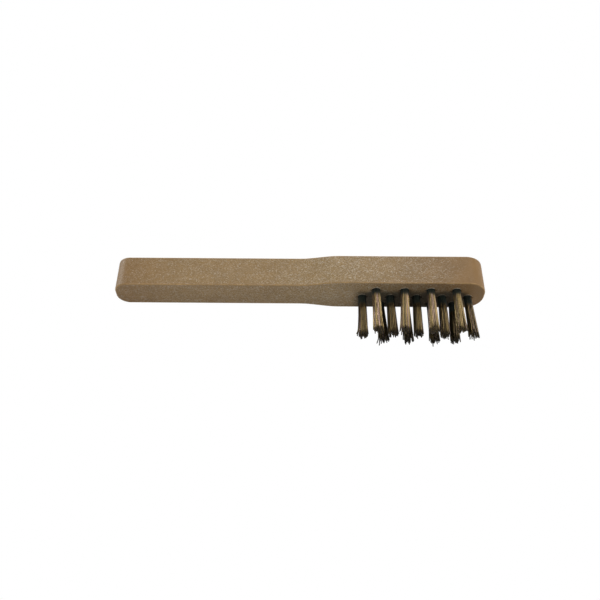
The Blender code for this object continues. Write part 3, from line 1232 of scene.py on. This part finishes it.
@dataclass
class Studio:
    """A white table that sweeps up all round, soft boxes, and the camera."""

    block: MouldedBlock
    sweep_radius: float = 3.0
    sweep_height: float = 4.0
    fillet: float = 1.0
    fillet_step_deg: int = 15
    round_steps: int = 48
    table_gap_mm: float = 0.02      # under the brush
    sheet_gap_mm: float = 1.0       # from the table's surface down to the sheet under it
    glow: float = 0.95              # how much light that sheet gives back
    sky: float = 0.22
    sky_colour: str = "f4f8ff"
    elevation_deg: float = 55.185
    azimuth_deg: float = 0.49
    distance_mm: float = 274.37
    aim_right_mm: float = 0.031
    aim_up_mm: float = -1.862
    lens_mm: float = 45.615
    sensor_mm: float = 36.0
    clip: Span = (0.01, 50.0)
    soft_boxes: tuple[SoftBox, ...] = (
        SoftBox("back_softbox", (0.40, 0.57, 0.71), 1.5, 0.75, 0.42, 12.1, "fffaf2"),
        SoftBox("overhead_softbox", (-0.50, -0.05, 0.86), 0.45, 0.30, 0.30, 0.62),
        SoftBox("front_softbox", (0.25, -0.79, 0.56), 0.9, 0.70, 0.30, 1.8),
        SoftBox("left_strip_softbox", (-0.81, 0.555, 0.20), 1.2, 0.12, 0.5, 6.0),
        SoftBox("right_strip_softbox", (0.93, 0.02, 0.20), 1.2, 0.30, 0.4, 6.0),
    )

    @staticmethod
    def stage_sheet(mesh: bpy.types.Mesh, material_name: str) -> tuple[bpy.types.Object, bpy.types.Node]:
        """Adds a mesh of the studio, with a matt material.

        Args:
            mesh: Its mesh, with the object's name.
            material_name: The material's name.

        Returns:
            The object and its shader.
        """
        sheet = add_object(mesh.name, mesh)
        material, _, shader = new_material(material_name)
        connect(shader, {"Roughness": 1.0, "Specular IOR Level": 0.0})
        mesh.materials.append(material)
        return sheet, shader

    def table(self, floor_z: float) -> None:
        """The white table, spun from a floor line that curves up into a wall.

        Args:
            floor_z: The table's height.
        """
        bm = bmesh.new()
        flat = self.sweep_radius - self.fillet
        line = [(0.0, 0.0), (flat, 0.0)]
        for angle in range(self.fillet_step_deg, 91, self.fillet_step_deg):
            turn = math.radians(angle)
            line.append((flat + self.fillet * math.sin(turn), self.fillet - self.fillet * math.cos(turn)))
        line.append((self.sweep_radius, self.sweep_height))
        verts = [bm.verts.new((x, 0, floor_z + z)) for x, z in line]
        edges = [bm.edges.new(pair) for pair in zip(verts, verts[1:])]
        bmesh.ops.spin(
            bm, geom=verts + edges, cent=(0, 0, 0), axis=(0, 0, 1), angle=math.tau,
            steps=self.round_steps, use_merge=True, use_duplicate=False,
        )
        bmesh.ops.remove_doubles(bm, verts=bm.verts[:], dist=1e-6)
        bmesh.ops.recalc_face_normals(bm, faces=bm.faces[:])
        mesh = to_mesh(bm, "white_table")
        mesh.shade_smooth()
        table, shader = self.stage_sheet(mesh, "lit_white_acrylic")
        connect(shader, {"Base Color": grey(0.0), "Emission Color": grey(1.0), "Emission Strength": 1.0})
        # an evenly lit table: it is seen, and the soft boxes and the sky alone light the brush
        table.visible_diffuse = table.visible_glossy = table.visible_transmission = False
        table.visible_shadow = False

    def sheet(self, floor_z: float) -> None:
        """A matt sheet just under the table's surface, which is all that the brush sees of the table.

        Args:
            floor_z: The table's height.
        """
        bm = bmesh.new()
        bmesh.ops.create_circle(bm, cap_ends=True, segments=self.round_steps, radius=self.sweep_radius)
        bmesh.ops.translate(bm, verts=bm.verts[:], vec=(0, 0, floor_z - self.sheet_gap_mm * MM))
        sheet, shader = self.stage_sheet(to_mesh(bm, "table_shade"), "matt_white_sheet")
        connect(shader, {"Base Color": grey(self.glow)})
        sheet.visible_camera = False

    def camera(self) -> None:
        """The camera, aimed at the front edge of the block's middle."""
        up_angle, turn = math.radians(self.elevation_deg), math.radians(self.azimuth_deg)
        ahead = Vector((
            -math.sin(turn) * math.cos(up_angle), math.cos(turn) * math.cos(up_angle), -math.sin(up_angle),
        ))
        right = Vector((math.cos(turn), math.sin(turn), 0))
        up = right.cross(ahead)
        aim = Vector((self.block.middle.x, self.block.low.y, self.block.middle.z))
        place = aim + (-ahead * self.distance_mm + right * self.aim_right_mm + up * self.aim_up_mm) * MM
        data = bpy.data.cameras.new("camera")
        data.lens, data.sensor_width = self.lens_mm, self.sensor_mm
        data.clip_start, data.clip_end = self.clip
        camera = add_object("camera", data)
        camera.matrix_world = Matrix.Translation(place) @ Matrix((right, up, -ahead)).transposed().to_4x4()
        bpy.context.scene.camera = camera

    def build(self) -> None:
        """Builds the sky, the table, the soft boxes and the camera."""
        scene = bpy.context.scene
        scene.view_settings.view_transform = "Standard"
        world = bpy.data.worlds.new("studio_room")
        world.use_nodes = True
        background = next(n for n in world.node_tree.nodes if n.type == "BACKGROUND")
        connect(background, {"Color": linear(self.sky_colour), "Strength": self.sky})
        scene.world = world
        floor_z = self.block.low.z - self.table_gap_mm * MM
        self.table(floor_z)
        self.sheet(floor_z)
        for soft_box in self.soft_boxes:
            soft_box.build(self.block.middle)
        self.camera()
        log.info("studio: %d soft boxes", len(self.soft_boxes))


# ---------------------------------------------------------------- the brush


def main() -> None:
    """Builds the studio and every piece of the brush."""
    logging.basicConfig(level=logging.INFO, format="%(name)s %(message)s")
    holes = find_holes(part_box(BLOCK)[0].y)
    block = MouldedBlock(holes)
    Studio(block).build()
    length = block.high.x - block.low.x
    plastic = FilledPolypropylene()
    # the lips: a painted highlight as pale stretched plastic, with less painted shade and dust
    lip_highlight_plastic = FilledPolypropylene(
        name="pale_lip_highlight_polypropylene", lip_highlight=0.35, dust_and_shade_share=0.6,
    )
    block.build(plastic.build(block.middle, length, holes))
    block.build_lips(lip_highlight_plastic.build(block.middle, length, holes))
    BristleField(holes).build(DrawnBrassWire().build(block.middle), ShearedWireEnd().build(block.middle))
    Anchors(holes).dress(RolledSteelStrip().build(block.middle))


if __name__ == "__main__":
    main()
